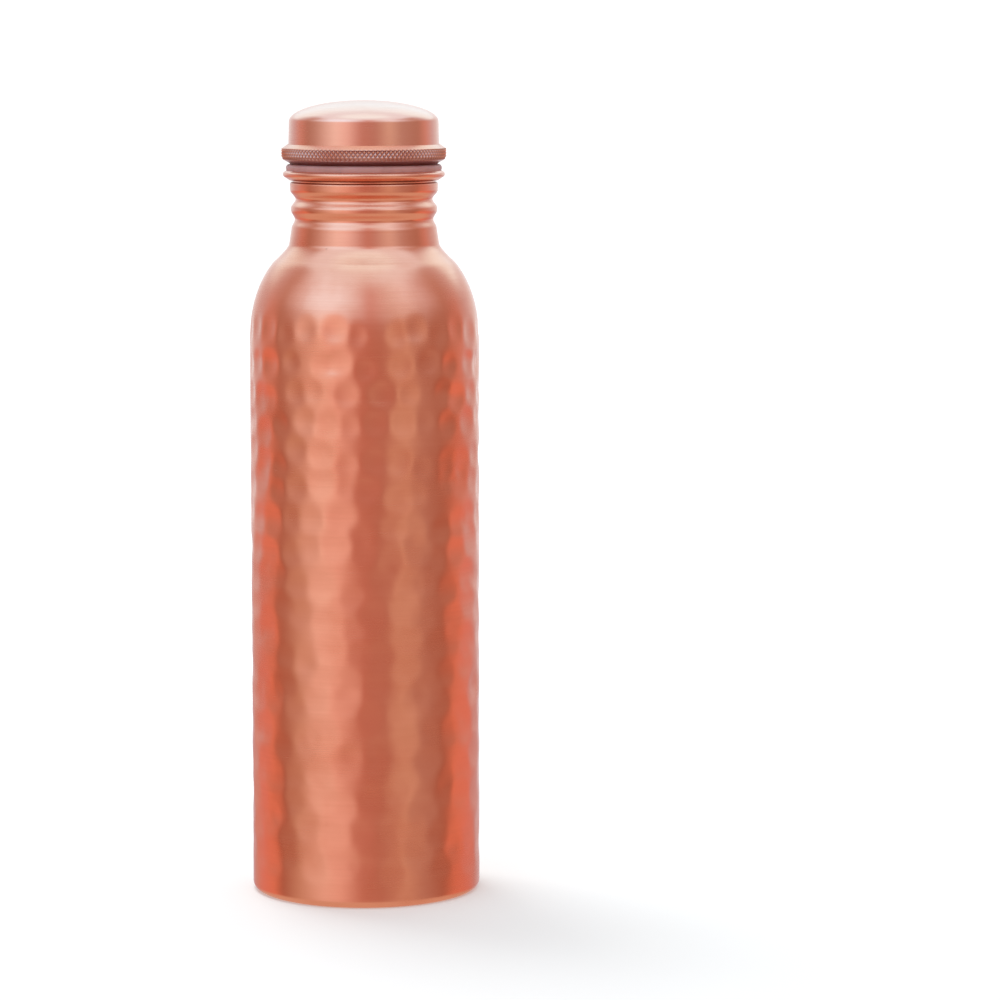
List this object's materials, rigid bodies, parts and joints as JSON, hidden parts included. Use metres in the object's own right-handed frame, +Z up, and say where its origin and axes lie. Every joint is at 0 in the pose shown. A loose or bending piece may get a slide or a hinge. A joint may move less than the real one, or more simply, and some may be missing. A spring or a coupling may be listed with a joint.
{
  "type": "copper water bottle",
  "caption": "Hammered copper water bottle with a beaded neck, a threaded mouth and a domed screw cap with a knurled grip ring.",
  "frame": {"origin": "centre of the foot, on the surface that the bottle stands on", "axes": "+Z up along the bottle's axis, towards the cap; +X and +Y are level, and the bottle is round about +Z"},
  "size_m": [0.077, 0.077, 0.2666],
  "materials": {
    "hammered_copper": "copper, hammered and satin brushed",
    "pressed_copper": "copper, plain pressed",
    "spun_copper": "copper, fine brushed round the axis",
    "turned_copper": "copper, turned bright",
    "knurled_copper": "copper, diamond knurled",
    "silver_braze": "silver braze, as flowed",
    "smoke_silicone": "translucent grey silicone",
    "white_silicone": "milky white silicone"
  },
  "bodies": {
    "bottle": {"body_shell": "hammered_copper", "base_cup": "pressed_copper", "base_braze": "silver_braze", "mouth_ring": "turned_copper", "collar_gasket": "smoke_silicone"},
    "cap_seal": {"cap_seal": "white_silicone"},
    "cap": {"cap_shell": "spun_copper", "cap_grip_ring": "knurled_copper", "cap_thread_sleeve": "turned_copper", "cap_solder": "silver_braze"}
  },
  "joints": [
    {"name": "cap_lift", "type": "slide", "parent": "bottle", "child": "cap_seal", "axis": [0, 0, 1], "range_m": [0, 0.016]},
    {"name": "cap_turn", "type": "hinge", "parent": "cap_seal", "child": "cap", "pos_m": [0, 0, 0.25], "axis": [0, 0, 1], "range_deg": [0, 1440]}
  ],
  "couplings": [
    {"joint": "cap_lift", "follows": "cap_turn", "m_per_rad": 0.00063662}
  ]
}
